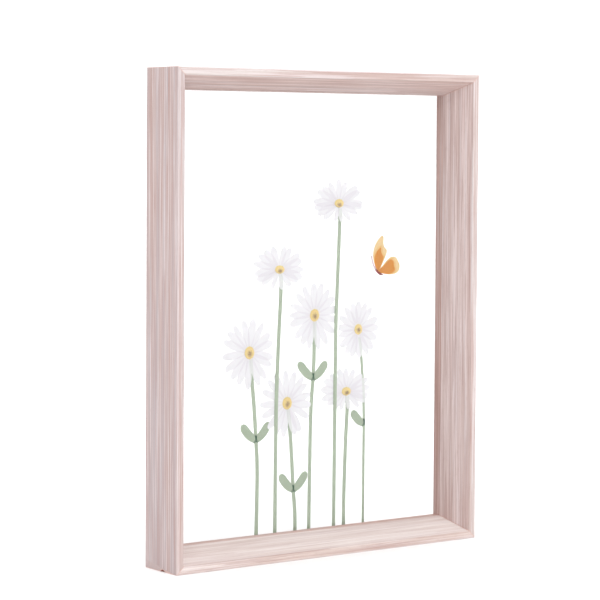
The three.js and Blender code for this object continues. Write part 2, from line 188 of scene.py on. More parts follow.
def length(name, description, size):
    return FloatProperty(name=name, description=description, default=size, unit="LENGTH", precision=5)


def paint(name, description, code):
    return FloatVectorProperty(
        name=name, description=description, default=tint(code), size=3, min=0, max=1, subtype="COLOR")


def brightness(name, description, value):
    return FloatProperty(name=name, description=description, default=value, min=0)


def node_size(node):
    low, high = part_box(node)
    return high - low


class FLOWERFRAME_PG_moulding(bpy.types.PropertyGroup):
    """Sizes of the wooden moulding, and the colours of its wash and of its painted light and shade."""
    rail_width: length("Rail width", "Width of a rail seen from the front", node_size("left_stile").x)
    rail_depth: length("Rail depth", "Depth of a rail from front to back", node_size("left_stile").y)
    face_width: length("Face width", "Width of the flat front face", 3.5 * MM)
    slope_end: length("Slope end", "Depth at which the inner slope ends", 15.1 * MM)
    lip_end: length("Lip end", "Depth at which the straight lip ends", 20.0 * MM)
    rebate_width: length("Rebate width", "How far the rebate steps back behind the lip", 4.0 * MM)
    front_rounding: length("Front rounding", "Radius of the outer arris at the front", 0.5 * MM)
    back_rounding: length("Back rounding", "Radius of the outer arris at the back", 0.3 * MM)
    inner_rounding: length("Inner rounding", "Radius between the face and the slope", 0.35 * MM)
    mitre_gap: length("Mitre gap", "Width of the glue line in each mitre", 0.06 * MM)
    wash: paint("Wash", "The lilac-white wash that covers most of the wood", "AEA2A4")
    # Also a painted highlight, together with wear, along the front outer arrises
    pale: paint("Pale wash", "Lines and arrises where the wash lies thicker", "D5CACB")
    grain: paint("Grain", "Late wood that shows through the wash", "A5827A")
    warm: paint("Warm wood", "Broad warm bands under the wash", "B69B93")
    # Painted shade on the deep lip, darker and browner than the wash; also the dark glue line in the mitres
    lip_shade_and_joint: paint("Bare wood", "The less washed wood of the lip", "CBA59A")
    cream: paint("Cream wash", "The creamy white of the front face", "E8DFD9")
    # The share of the inner slope that takes each rail's slope colour, a painted light that lifts the shade
    # in the recess
    slope_light_share: FloatProperty(
        name="Slope wash", description="How much thicker the wash lies on the inner slope", default=0.85,
        min=0, max=1, subtype="FACTOR")
    chip: paint("Chip", "Broken wood in the chipped edge", "AA6A5A")


class FLOWERFRAME_PG_specimens(bpy.types.PropertyGroup):
    """Sizes and colours of the dried daisies and the butterfly."""
    petals: IntProperty(name="Petals", description="Petals round one disc", default=17, min=5, max=40)
    petal_width: length("Petal width", "Width of a full petal", 4.2 * MM)
    petal_thickness: length("Petal thickness", "Thickness of one dried petal", 0.05 * MM)
    florets: IntProperty(name="Florets", description="Florets on one disc", default=150, min=20, max=600)
    floret_size: length("Floret size", "Radius of one floret", 0.24 * MM)
    stem_width: length("Stem width", "Width of a pressed stem", 2.05 * MM)
    thin_stem_width: length("Thin stem width", "Width of the thinner stem", 1.5 * MM)
    leaf_width: length("Leaf width", "Width of a full leaf", 4.2 * MM)
    petal: paint("Petal", "Dried white petal", "F7F6FA")
    # Painted shade at the foot of a petal, where petals overlap round the disc, and also the colour of its
    # veins
    petal_vein_and_foot_shade: paint("Petal base", "Greyer foot of a petal", "E9E4EC")
    petal_shade: paint("Petal shade", "How much a petal darkens where another lies under it", "F8F6F8")
    disc: paint("Disc", "Yellow florets", "F7DE97")
    disc_heart: paint("Disc heart", "Withered florets in the middle", "A37F68")
    stem: paint("Stem", "Dried pale green stem", "B9C8B0")
    leaf: paint("Leaf", "Dried pale green leaf", "AEBDA5")
    joint: paint("Leaf joint", "Dark green where a pair of leaves meets", "1E5233")
    wing: paint("Wing patch", "Deep orange middle of a wing", "E18F20")
    wing_margin: paint("Wing margin", "Pale orange rim of a wing", "F4CB84")
    body: paint("Butterfly body", "Dark red-brown body", "8C2B27")
    antenna: paint("Antenna", "Pale pink antennae", "E0C8D0")


class FLOWERFRAME_PG_stage(bpy.types.PropertyGroup):
    """The floor, the light and the camera."""
    floor_size: length("Floor size", "Side of the square floor", 40.0)
    floor: paint("Floor", "Plain pale floor", "F8F8F8")
    backdrop: brightness("Backdrop", "Brightness behind the frame", 1.2)
    room: brightness("Room", "Brightness in front of the frame", 0.45)
    overhead: brightness("Overhead", "Brightness added straight above", 0.38)
    glow: brightness("Glow", "Brightness added by the wide soft light at the front", 1.85)
    glow_place: FloatVectorProperty(
        name="Glow direction", description="Direction from the frame to the wide soft light",
        default=(0.0, -0.82, 0.57), size=3, subtype="DIRECTION")


# Node trees

class Nodes:
    """A node tree, with short names for the nodes that come back often."""

    def __init__(self, tree):
        self.tree = tree

    def add(self, kind, inputs=None, **settings):
        """Adds a node. An input is a value, or the socket that it is linked to."""
        node = self.tree.nodes.new(kind)
        for name, value in settings.items():
            setattr(node, name, value)
        for key, value in (inputs or {}).items():
            if isinstance(value, bpy.types.NodeSocket):
                self.tree.links.new(value, node.inputs[key])
            else:
                node.inputs[key].default_value = value
        return node

    def first(self, kind, inputs=None, **settings):
        """Adds a node and gives its first output."""
        return self.add(kind, inputs, **settings).outputs[0]

    def math(self, operation, *values):
        return self.first("ShaderNodeMath", dict(enumerate(values)), operation=operation)

    def times(self, one, other):
        return self.math("MULTIPLY", one, other)

    def vector(self, operation, *values):
        return self.first("ShaderNodeVectorMath", dict(enumerate(values)), operation=operation)

    def joined(self, x=0.0, y=0.0, z=0.0):
        return self.first("ShaderNodeCombineXYZ", {"X": x, "Y": y, "Z": z})

    def parts(self, vector):
        return self.add("ShaderNodeSeparateXYZ", {0: vector}).outputs

    def between(self, value, start, end):
        """Rises smoothly from 0 at start to 1 at end."""
        inputs = {"Value": value, "From Min": start, "From Max": end}
        return self.first("ShaderNodeMapRange", inputs, interpolation_type="SMOOTHSTEP")

    def cloud(self, place, stretch, detail):
        """Noise read at a place that is stretched by cycles per metre along each axis."""
        scaled = self.vector("MULTIPLY", place, stretch)
        return self.first("ShaderNodeTexNoise", {"Vector": scaled, "Scale": 1.0, "Detail": detail})

    def attribute(self, name, output="Fac"):
        return self.add("ShaderNodeAttribute", attribute_name=name).outputs[output]

    def blend(self, share, first, second, kind="MIX"):
        """Mixes two colours by a share from 0 to 1."""
        node = self.add("ShaderNodeMix", {0: share}, data_type="RGBA", blend_type=kind)
        for slot, value in ((6, first), (7, second)):
            if isinstance(value, bpy.types.NodeSocket):
                self.tree.links.new(value, node.inputs[slot])
            else:
                node.inputs[slot].default_value = (*value, 1)
        return node.outputs[2]

    def coat(self, tone, colour, where, share):
        """Lays a colour over a tone where a value nears 1, and covers the given share of it there."""
        return self.blend(self.times(where, share), tone, colour)


class Finish(Nodes):
    """The node tree of a new material."""

    def __init__(self, name):
        self.material = bpy.data.materials.new(name)
        self.material.use_nodes = True
        super().__init__(self.material.node_tree)
        self.tree.nodes.clear()

    def object_place(self):
        return self.add("ShaderNodeTexCoord").outputs["Object"]

    def uv_place(self):
        return self.parts(self.first("ShaderNodeUVMap", uv_map="UVMap"))

    def end(self, tone, roughness, height=None, relief=0.0, more=None):
        """Ends the material in one shader, with its bump if a height is given."""
        inputs = {"Base Color": tone, "Roughness": roughness, **(more or {})}
        if height is not None:
            bump = {"Height": height, "Strength": 1.0, "Distance": relief}
            inputs["Normal"] = self.first("ShaderNodeBump", bump)
        shader = self.first("ShaderNodeBsdfPrincipled", inputs)
        self.add("ShaderNodeOutputMaterial", {"Surface": shader})
        return self.material


class Shape(Nodes):
    """A Geometry Nodes tree with named inputs."""

    def __init__(self, name, inputs):
        super().__init__(bpy.data.node_groups.new(name, "GeometryNodeTree"))
        self.tree.interface.new_socket("Geometry", in_out="OUTPUT", socket_type="NodeSocketGeometry")
        for label, kind in {"Geometry": "Geometry", **inputs}.items():
            self.tree.interface.new_socket(label, in_out="INPUT", socket_type="NodeSocket" + kind)
        self.given = self.add("NodeGroupInput").outputs

    def place(self):
        return self.first("GeometryNodeInputPosition")

    def moved(self, geometry, place):
        return self.first("GeometryNodeSetPosition", {"Geometry": geometry, "Position": place})

    def named(self, name, kind="FLOAT"):
        return self.first("GeometryNodeInputNamedAttribute", {"Name": name}, data_type=kind)

    def stored(self, geometry, name, value, kind="FLOAT"):
        inputs = {"Geometry": geometry, "Name": name, "Value": value}
        return self.first("GeometryNodeStoreNamedAttribute", inputs, data_type=kind)

    def swept(self, path, profile):
        inputs = {"Curve": path, "Profile Curve": profile, "Fill Caps": True}
        return self.first("GeometryNodeCurveToMesh", inputs)

    def end(self, geometry, material):
        """Realizes the instances and sets the material."""
        real = self.first("GeometryNodeRealizeInstances", {"Geometry": geometry})
        painted = self.first("GeometryNodeSetMaterial", {"Geometry": real, "Material": material})
        self.add("NodeGroupOutput", {0: painted})
        return self

    def run(self, thing, values):
        """Runs the tree on an object with the given inputs, and keeps the result as its plain mesh."""
        modifier = thing.modifiers.new(self.tree.name, "NODES")
        modifier.node_group = self.tree
        sockets = {item.name: item.identifier for item in self.tree.interface.items_tree
                   if item.in_out == "INPUT"}
        for label, value in values.items():
            modifier[sockets[label]] = value
        bpy.context.view_layer.update()
        mesh = evaluated_mesh(thing)
        thing.modifiers.clear()
        if thing.type == "MESH":
            thing.data = mesh
            return thing
        name = thing.name
        bpy.data.objects.remove(thing)
        return new_object(name, mesh)


# Materials

def washed_wood(moulding):
    """Straight-grained wood under a thin pink-white wash, with painted light on the inner slope, painted
    shade on the lip that deepens towards the pane, and a painted highlight with wear along the front arrises.
    """
    wood = Finish("washed_wood")
    place = wood.attribute("moulding", "Vector")
    _, depth, inwards = wood.parts(place)
    board = wood.attribute("board")
    face_end, slope_end = moulding.face_width, moulding.slope_end
    lip_edge = moulding.rail_width - 0.12 * MM

    front = wood.times(wood.between(depth, 0.6 * MM, 0.2 * MM), wood.attribute("face_wash"))
    # Painted light: the inner slope takes its rail's lighter slope colour, which lifts the shade in the
    # recess and is lighter on the bottom rail, which faces up, than on the top rail, which faces down
    slope = wood.times(wood.between(depth, 0.2 * MM, 0.6 * MM),
                       wood.between(inwards, face_end, face_end + 0.2 * MM))
    # Painted shade: the deep lip is darker and browner, and the grain colour darkens it further towards the
    # pane
    lip = wood.times(wood.between(inwards, lip_edge, lip_edge + 0.08 * MM),
                     wood.between(depth, slope_end - 0.1 * MM, slope_end + 0.2 * MM))
    shade_by_pane = wood.times(lip, wood.between(depth, slope_end, moulding.lip_end))
    tone = wood.blend(front, moulding.wash, moulding.cream)
    tone = wood.coat(tone, wood.attribute("slope_tone", "Color"), slope, moulding.slope_light_share)
    tone = wood.coat(tone, moulding.lip_shade_and_joint, lip, 0.9)
    tone = wood.coat(tone, moulding.grain, shade_by_pane, 0.25)

    clear = wood.math("SUBTRACT", 1.0, wood.times(slope, wood.attribute("veil")))
    for layer, (colour, share, along, across, detail, start, end) in enumerate(STREAKS, 1):
        moved = wood.vector("ADD", place, wood.joined(board, layer / 10, board))
        streaks = wood.between(wood.cloud(moved, (along, across, across), detail), start, end)
        tone = wood.coat(tone, getattr(moulding, colour), streaks, wood.times(clear, share))

    # Painted highlight along the front outer arris, where its rounding catches the light, together with wear
    # there
    arris = wood.between(wood.math("MAXIMUM", inwards, depth), 0.7 * MM, 0.3 * MM)
    tone = wood.coat(tone, moulding.pale, arris, 0.35)
    joint = wood.between(wood.attribute("mitre"), 0.45 * MM, 0.12 * MM)
    tone = wood.coat(tone, moulding.lip_shade_and_joint, joint, 0.55)
    fibres = wood.cloud(place, (60, 2600, 2600), 3)
    return wood.end(tone, wood.math("MULTIPLY_ADD", fibres, 0.25, 0.45), fibres, 0.04 * MM)


def bare_wood(moulding):
    """Torn fibres inside the chip."""
    wood = Finish("chipped_wood")
    fibres = wood.cloud(wood.object_place(), (3000, 3000, 500), 3)
    tone = wood.blend(wood.between(fibres, 0.35, 0.7), shade(moulding.chip, 0.6), moulding.chip)
    return wood.end(tone, 0.85, fibres, 0.1 * MM)


def clear_pane():
    """Clear polished sheet whose surface is very faintly uneven."""
    pane = Finish("clear_pane")
    waves = pane.cloud(pane.object_place(), (30, 30, 30), 1)
    return pane.end((1, 1, 1, 1), 0.0, waves, 0.002 * MM, {"IOR": 1.33, "Transmission Weight": 1.0})


def bright_steel():
    """Thin cold-rolled steel with fine rolling marks and a little tarnish."""
    steel = Finish("bright_steel")
    place = steel.object_place()
    marks = steel.cloud(place, (5000, 5000, 300), 2)
    spots = steel.between(steel.cloud(place, (700, 700, 700), 3), 0.5, 0.75)
    tone = steel.coat(steel.blend(marks, STEEL_DARK, STEEL_PALE), TARNISH, spots, 0.4)
    roughness = steel.math("MULTIPLY_ADD", marks, 0.2, 0.28)
    return steel.end(tone, roughness, marks, 0.01 * MM, {"Metallic": 1.0})


def dried_petal(specimens):
    """A thin white petal with fine veins, with painted shade at its foot, where petals overlap round the
    disc, and darker where another petal or a stem shows through it.
    """
    petal = Finish("dried_petal")
    along, across, _ = petal.uv_place()
    place = petal.joined(along, across, petal.attribute("petal"))
    veins = petal.cloud(place, (1.2, 14, 9), 2)
    # Painted shade: the foot of the petal, where petals overlap round the disc, is greyer
    tone = petal.coat(specimens.petal, specimens.petal_vein_and_foot_shade, petal.between(along, 0.6, 0.1), 0.25)
    tone = petal.coat(tone, specimens.petal_vein_and_foot_shade, petal.between(veins, 0.56, 0.7), 0.35)
    tone = petal.coat(tone, PETAL_MOTTLE, petal.cloud(place, (3, 3, 9), 2), 0.15)
    # Painted shade where one or two other petals lie under this one
    for layer in ("under_one", "under_two"):
        covered = petal.between(petal.attribute(layer), -0.04 * MM, 0.04 * MM)
        tone = petal.blend(covered, tone, specimens.petal_shade, "MULTIPLY")
    stem = petal.between(petal.attribute("over_stem"), -0.1 * MM, 0.1 * MM)
    return petal.end(petal.coat(tone, specimens.stem, stem, 0.25), 0.6, veins, 0.01 * MM)


def floret_yellow(specimens):
    """Yellow florets that are withered and brown around the heart of the disc."""
    floret = Finish("floret_yellow")
    grains = floret.cloud(floret.object_place(), (2500, 2500, 2500), 2)
    near_heart = floret.math("MULTIPLY_ADD", grains, 0.9, floret.attribute("heart"))
    tone = floret.blend(floret.between(near_heart, 0.75, 1.35), specimens.disc, specimens.disc_heart)
    return floret.end(floret.coat(tone, FLORET_TIP, grains, 0.25), 0.8, grains, 0.03 * MM)


def dried_stem(specimens):
    """A pale green stem with ribs along it, dark where a pair of leaves meets."""
    stem = Finish("dried_stem")
    across, along, over_joint = stem.parts(stem.attribute("stem_place", "Vector"))
    around = stem.joined(across, along)
    ribs = stem.cloud(around, (6, 30, 1), 2)
    tone = stem.blend(stem.between(ribs, 0.35, 0.7), shade(specimens.stem, 0.86), specimens.stem)
    tone = stem.coat(tone, STEM_BLOTCH, stem.cloud(around, (1, 90, 1), 3), 0.25)
    tall = stem.math("DIVIDE", over_joint, LENS_HALF_HEIGHT)
    wide = stem.times(across, 0.6)
    away = stem.math("ADD", stem.times(tall, tall), stem.times(wide, wide))
    tone = stem.blend(stem.between(away, 1.1, 0.4), tone, specimens.joint)
    return stem.end(tone, 0.65, ribs, 0.04 * MM)


def dried_leaf(specimens):
    """A pale green leaf with a fine darker margin, a midrib and side veins."""
    leaf = Finish("dried_leaf")
    along, across, _ = leaf.uv_place()
    off_middle = leaf.math("ABSOLUTE", leaf.math("SUBTRACT", across, 0.5))
    mottle = leaf.cloud(leaf.object_place(), (900, 900, 900), 3)
    slanted = leaf.math("SUBTRACT", leaf.times(along, 9), leaf.times(off_middle, 5))
    side_veins = leaf.between(leaf.math("SINE", leaf.times(slanted, 2 * math.pi)), 0.82, 1.0)
    midrib = leaf.between(off_middle, 0.035, 0.0)
    veins = leaf.math("MAXIMUM", midrib, leaf.times(side_veins, 0.35))
    tone = leaf.blend(mottle, shade(specimens.leaf, 0.93), shade(specimens.leaf, 1.06))
    tone = leaf.coat(tone, LEAF_VEIN, veins, 0.18)
    tone = leaf.coat(tone, LEAF_MARGIN, leaf.between(off_middle, 0.42, 0.49), 0.6)
    tone = leaf.coat(tone, specimens.joint, leaf.between(along, 0.11, 0.05), 0.6)
    height = leaf.math("ADD", veins, leaf.times(mottle, 0.4))
    return leaf.end(tone, 0.6, height, 0.05 * MM)


def scaled_wing(specimens):
    """A wing of fine scales: a deep orange patch, a pale rim and veins from the root."""
    wing = Finish("scaled_wing")
    place = wing.object_place()
    scales = wing.cloud(place, (9000, 9000, 9000), 1)
    dusting = wing.cloud(place, (500, 500, 500), 3)
    patch = wing.attribute("patch")
    vein = wing.attribute("vein")
    ragged = wing.math("MULTIPLY_ADD", wing.math("SUBTRACT", dusting, 0.5), 0.3 * MM, patch)
    middle = wing.blend(dusting, shade(specimens.wing, 0.92), shade(specimens.wing, 1.06))
    rim = wing.blend(dusting, specimens.wing_margin, shade(specimens.wing_margin, 0.93))
    rim = wing.coat(rim, WING_EDGE, wing.between(patch, -0.9 * MM, -1.1 * MM), 0.3)
    tone = wing.blend(wing.between(ragged, -0.04 * MM, 0.04 * MM), rim, middle)
    height = wing.math("ADD", wing.times(scales, 0.3), vein)
    return wing.end(wing.coat(tone, WING_VEIN, vein, 0.2), 0.7, height, 0.03 * MM)


def furry_body(specimens):
    """The dark body, which turns into pale antennae."""
    body = Finish("furry_body")
    hairs = body.cloud(body.object_place(), (3500, 3500, 3500), 2)
    dark = body.blend(hairs, shade(specimens.body, 0.7), shade(specimens.body, 1.2))
    tone = body.blend(body.between(body.attribute("share"), 0.5, 0.62), specimens.antenna, dark)
    return body.end(tone, 0.75, hairs, 0.04 * MM)


def pale_floor(stage):
    """A plain floor with a hardly visible mottle."""
    floor = Finish("pale_floor")
    mottle = floor.cloud(floor.object_place(), (3, 3, 3), 2)
    return floor.end(floor.blend(mottle, stage.floor, shade(stage.floor, 0.98)), 0.9)


# Meshes

def new_object(name, data, material=None):
    thing = bpy.data.objects.new(name, data)
    bpy.context.scene.collection.objects.link(thing)
    if material:
        data.materials.append(material)
    return thing


def mesh_from(name, vertices, faces=(), edges=()):
    mesh = bpy.data.meshes.new(name)
    mesh.from_pydata([tuple(v) for v in vertices], edges, faces)
    return mesh


def evaluated_mesh(thing):
    graph = bpy.context.evaluated_depsgraph_get()
    return bpy.data.meshes.new_from_object(thing.evaluated_get(graph), depsgraph=graph)


def store(mesh, **layers):
    """Stores attributes on the points of a mesh: a list of values, or one value for all of them."""
    for name, values in layers.items():
        if not isinstance(values, list):
            values = [values] * len(mesh.vertices)
        if hasattr(values[0], "__len__"):
            layer = mesh.attributes.new(name, "FLOAT_VECTOR", "POINT")
            layer.data.foreach_set("vector", [c for v in values for c in v])
        else:
            mesh.attributes.new(name, "FLOAT", "POINT").data.foreach_set("value", values)


def tidy_mesh(mesh, sharp_angle):
    """Merges doubles, turns faces outwards and keeps only real creases sharp."""
    cleaned = bmesh.new()
    cleaned.from_mesh(mesh)
    bmesh.ops.remove_doubles(cleaned, verts=cleaned.verts, dist=1e-7)
    bmesh.ops.recalc_face_normals(cleaned, faces=cleaned.faces)
    for face in cleaned.faces:
        face.smooth = True
    for edge in cleaned.edges:
        edge.smooth = len(edge.link_faces) == 2 and edge.calc_face_angle(0) < math.radians(sharp_angle)
    cleaned.to_mesh(mesh)
    cleaned.free()


def head_place(number, y):
    """Where a flat flower head goes: upright, its back at y, round the middle of its disc."""
    low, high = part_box(f"daisy_{number}_disc")
    return Matrix.Translation(((low.x + high.x) / 2, y, (low.z + high.z) / 2)) @ STANDING


def put_on_body(piece, node):
    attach(piece, "root")
    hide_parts(node)


def stand_up(piece, node):
    """Stands a flat piece up in the middle of its solid's thickness."""
    low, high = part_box(node)
    tidy_mesh(piece.data, 60)
    piece.data.transform(Matrix.Translation((0, (low.y + high.y) / 2, 0)) @ STANDING)
    put_on_body(piece, node)


def grid_faces(rows, columns):
    """The faces of a grid whose points run along each row in turn."""
    step = columns + 1
    starts = [n * step + k for n in range(rows) for k in range(columns)]
    return [(a, a + step, a + step + 1, a + 1) for a in starts]


def closed_sheet(name, points, faces, top, bottom, places=()):
    """A thin closed blade: the faces at their points' top heights and bottom heights, and a rim."""
    count = len(points)
    vertices = [(*point, height) for heights in (top, bottom) for point, height in zip(points, heights)]
    edges = dict.fromkeys(pair for face in faces for pair in zip(face, (*face[1:], face[0])))
    below = [tuple(count + corner for corner in reversed(face)) for face in faces]
    rim = [(b, a, count + a, count + b) for a, b in edges if (b, a) not in edges]
    mesh = mesh_from(name, vertices, [*faces, *below, *rim])
    if places:
        uv = mesh.uv_layers.new(name="UVMap")
        for loop in mesh.loops:
            uv.data[loop.index].uv = places[loop.vertex_index % count]
    return mesh


def ribbon(line, half_widths, height_at):
    """A closed blade along a line, with its UV map: share along, and from edge to edge across."""
    rows, columns = len(line) - 1, 8
    points, heights, places = [], [], []
    for n, point in enumerate(line):
        along = (line[min(n + 1, rows)] - line[max(n - 1, 0)]).normalized()
        side = Vector((-along.y, along.x))
        for k in range(columns + 1):
            across = 1 - 2 * k / columns
            points.append(point + side * half_widths[n] * across)
            heights.append(height_at(n / rows, across))
            places.append((n / rows, 0.5 + across / 2))
    below = [-height for height in heights]
    return closed_sheet("ribbon", points, grid_faces(rows, columns), heights, below, places)


def vary(number, salt):
    """The small even variation, from -1 to 1, that the solids use too."""
    wave = math.sin(number * 12.9898 + salt * 4.1414) * 43758.5453
    return 2 * (wave - math.floor(wave)) - 1


def smoothstep(value, start, end):
    share = min(1, max(0, (value - start) / (end - start)))
    return share * share * (3 - 2 * share)


def smooth_line(points, steps, closed=False):
    """Points at even steps along a curve through the given points."""
    count = len(points)
    fine = 24
    dense = []
    for n in range(count if closed else count - 1):
        near = [k % count if closed else min(max(k, 0), count - 1) for k in range(n - 1, n + 3)]
        a, b, c, d = (Vector(points[k]) for k in near)
        for t in (k / fine for k in range(fine)):
            dense.append(0.5 * (2 * b + (c - a) * t + (2 * a - 5 * b + 4 * c - d) * t * t
                                + (3 * b - a - 3 * c + d) * t ** 3))
    dense.append(Vector(points[0 if closed else -1]))
    marks = [0.0]
    for first, second in zip(dense, dense[1:]):
        marks.append(marks[-1] + (second - first).length)
    even = []
    place = 0
    for n in range(steps + 1):
        wanted = marks[-1] * n / steps
        while place < len(marks) - 2 and marks[place + 1] < wanted:
            place += 1
        share = (wanted - marks[place]) / (marks[place + 1] - marks[place])
        even.append(dense[place].lerp(dense[place + 1], share))
    return even[:-1] if closed else even


# The moulding

def moulding_section(sizes):
    """The outline of the moulding as (inwards, depth), with its arrises rounded."""
    width, depth = sizes.rail_width, sizes.rail_depth
    slope_end, lip_end = sizes.slope_end, sizes.lip_end
    wall = width - sizes.rebate_width
    outer, inner, back = sizes.front_rounding, sizes.inner_rounding, sizes.back_rounding
    soft = 0.12 * MM
    slope = Vector((width - sizes.face_width, slope_end)).normalized()
    corner = Vector((sizes.face_width, 0))
    start, end = corner - Vector((inner, 0)), corner + inner * slope
    turns = [math.radians(90 * n / 8) for n in range(9)]
    outline = [(outer - outer * math.cos(turn), outer - outer * math.sin(turn)) for turn in turns]
    for t in (n / 6 for n in range(7)):
        outline.append(tuple((1 - t) ** 2 * start + 2 * t * (1 - t) * corner + t ** 2 * end))
    outline.append(tuple(Vector((width, slope_end)) - soft * slope))
    outline += [(width, slope_end + soft), (width, lip_end - soft), (width - soft, lip_end)]
    outline += [(wall, lip_end), (wall, depth - soft), (wall - soft, depth)]
    return outline + [(back - back * math.sin(turn), depth - back + back * math.cos(turn)) for turn in turns]


def moulding_shape(material):
    """Sweeps the section along a straight line and cuts a mitre at both ends."""
    shape = Shape("Mitred moulding", {"Length": "Float", "Mitre Gap": "Float", "Stations": "Int"})
    given = shape.given
    line = shape.first("GeometryNodeCurvePrimitiveLine", {"Start": (-0.5, 0, 0), "End": (0.5, 0, 0)})
    path = shape.first("GeometryNodeResampleCurve", {"Curve": line, "Count": given["Stations"]})
    profile = shape.first("GeometryNodeMeshToCurve", {"Mesh": given["Geometry"]})
    along, depth, inwards = shape.parts(shape.place())
    inner = shape.math("MULTIPLY_ADD", inwards, -2.0, given["Length"])
    whole = shape.math("SUBTRACT", inner, given["Mitre Gap"])
    mitred = shape.joined(shape.times(along, whole), depth, inwards)
    return shape.end(shape.moved(shape.swept(path, profile), mitred), material)


def rail_place(number):
    """Where a rail goes: from along X with its inner edge up, to its side of the frame."""
    middle = cad_high.z / 2
    x, z = ((0, 0), (cad_high.x, middle), (0, cad_high.z), (cad_low.x, middle))[number]
    return Matrix.Translation((x, cad_low.y, z)) @ Matrix.Rotation(math.radians(-90 * number), 4, "Y")


class FLOWERFRAME_OT_rails(bpy.types.Operator):
    """Makes the four mitred lengths of washed moulding, with the chip in the lower left corner"""
    bl_idname = "flower_frame.rails"
    bl_label = "Wooden rails"

    def execute(self, context):
        sizes = context.scene.flower_frame_moulding
        first_board, board_step = 0.37, 1.71
        shape = moulding_shape(washed_wood(sizes))
        section = [(-depth, -inwards, 0) for inwards, depth in moulding_section(sizes)]
        ring = [(n, (n + 1) % len(section)) for n in range(len(section))]
        chip = self.chip_cutter(bare_wood(sizes))
        for number, (node, (slope_tone, veil, face_wash)) in enumerate(RAILS.items()):
            upright = node.endswith("stile")
            long_side = cad_high.z - cad_low.z if upright else cad_high.x - cad_low.x
            piece = new_object("washed_" + node, mesh_from(node, section, edges=ring))
            shape.run(piece, {"Length": long_side, "Mitre Gap": sizes.mitre_gap, "Stations": 60})
            tidy_mesh(piece.data, 35)
            places = [v.co.copy() for v in piece.data.vertices]
            store(piece.data, moulding=places, mitre=[long_side / 2 - v.z - abs(v.x) for v in places],
                  board=first_board + board_step * number, slope_tone=tint(slope_tone), veil=veil,
                  face_wash=face_wash)
            piece.data.transform(rail_place(number))
            if node in ("bottom_rail", "left_stile"):
                self.cut_chip(piece, chip)
            put_on_body(piece, node)
        bpy.data.objects.remove(chip)
        return {"FINISHED"}

    def chip_cutter(self, material):
        """A ragged splinter along the lower left edge."""
        long, high, reach, depth = 3.6 * MM, 0.95 * MM, 1.0 * MM, 11.2 * MM
        sides = 8
        middle = Vector((cad_low.x, cad_low.y + depth, 0))
        points = []
        for n in range(9):
            share = n / 8
            swell = math.sqrt(max(0.02, 1 - (2 * share - 1) ** 2)) * (1 + 0.18 * vary(n, 5))
            for k in range(sides):
                turn = 2 * math.pi * k / sides
                across = reach * swell * math.cos(turn) * (1 + 0.12 * vary(n, k))
                up = high * swell * math.sin(turn) * (1 + 0.12 * vary(k, n))
                points.append(middle + Vector((across, (share - 0.5) * long, up)))
        faces = [tuple(range(sides)), tuple(reversed(range(8 * sides, 9 * sides)))]
        for n in range(8):
            for k in range(sides):
                a, b = sides * n + k, sides * n + (k + 1) % sides
                faces.append((a, a + sides, b + sides, b))
        mesh = mesh_from("chip", points, faces)
        tidy_mesh(mesh, 60)
        return new_object("chip", mesh, material)

    def cut_chip(self, piece, chip):
        cut = piece.modifiers.new("chip", "BOOLEAN")
        cut.object = chip
        cut.operation = "DIFFERENCE"
        cut.solver = "EXACT"
        cut.material_mode = "TRANSFER"
        mesh = evaluated_mesh(piece)
        piece.modifiers.clear()
        tidy_mesh(mesh, 35)
        piece.data = mesh


# Panes and points

def refinish(node, material):
    """Gives a solid that is kept as it is another material."""
    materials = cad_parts[node].data.materials
    materials.clear()
    materials.append(material)


class FLOWERFRAME_OT_panes(bpy.types.Operator):
    """Gives the two panes their clear sheet"""
    bl_idname = "flower_frame.panes"
    bl_label = "Clear panes"

    def execute(self, context):
        material = clear_pane()
        for node in ("front_pane", "back_pane"):
            refinish(node, material)
        return {"FINISHED"}


class FLOWERFRAME_OT_points(bpy.types.Operator):
    """Gives the steel points behind the back pane their bright finish"""
    bl_idname = "flower_frame.points"
    bl_label = "Steel points"

    def execute(self, context):
        material = bright_steel()
        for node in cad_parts:
            if node.startswith("glazing_point"):
                refinish(node, material)
        return {"FINISHED"}


# Petals

def petal_half_width(share):
    """Half the width of a petal along its length, as a share of its full width."""
    shoulder, widest = 0.4, 0.68
    if share < shoulder:
        return 0.12 + 0.3 * share / shoulder
    if share < widest:
        return 0.42 + 0.08 * math.sin(math.radians(90) * (share - shoulder) / (widest - shoulder))
    return 0.5 * max(0, 1 - ((share - widest) / (1 - widest)) ** 2) ** 0.42


def petal_blade(thickness):
    """One petal of length and width 1, closed, slightly arched across and grooved along."""
    rows, columns = 16, 6
    points, arches, places = [], [], []
    for n in range(rows):
        share = math.sin(math.radians(90) * n / rows)
        for k in range(columns + 1):
            across = 2 * k / columns - 1
            groove = 0.35 * math.cos(3 * math.pi * across) * smoothstep(share, 0, 0.4)
            points.append((share, across * petal_half_width(share)))
            arches.append(thickness * (0.5 * (1 - across ** 2) + groove * (1 - share)))
            places.append((share, 0.5 + across / 2))
    last = (rows - 1) * (columns + 1)
    faces = grid_faces(rows - 1, columns) + [(last + k, len(points), last + k + 1) for k in range(columns)]
    points.append((1, 0))
    arches.append(0)
    places.append((1, 0.5))
    top = [arch + thickness for arch in arches]
    return new_object("petal_blade", closed_sheet("petal_blade", points, faces, top, arches, places))


def petal_shape(blade, material):
    """Sets one blade on each point, turned and stretched as the point says."""
    shape = Shape("Petal ring", {"Petal Seed": "Int"})
    points = shape.first("GeometryNodeMeshToPoints", {"Mesh": shape.given["Geometry"]})
    source = shape.add("GeometryNodeObjectInfo", {"Object": blade, "As Instance": True})
    chance = shape.add("FunctionNodeRandomValue", {"Seed": shape.given["Petal Seed"]}, data_type="FLOAT")
    ring = shape.first("GeometryNodeInstanceOnPoints", {
        "Points": shape.stored(points, "petal", chance.outputs[1]),
        "Instance": source.outputs["Geometry"],
        "Rotation": shape.first("FunctionNodeEulerToRotation", {0: shape.named("turn", "FLOAT_VECTOR")}),
        "Scale": shape.named("size", "FLOAT_VECTOR")})
    return shape.end(ring, material)


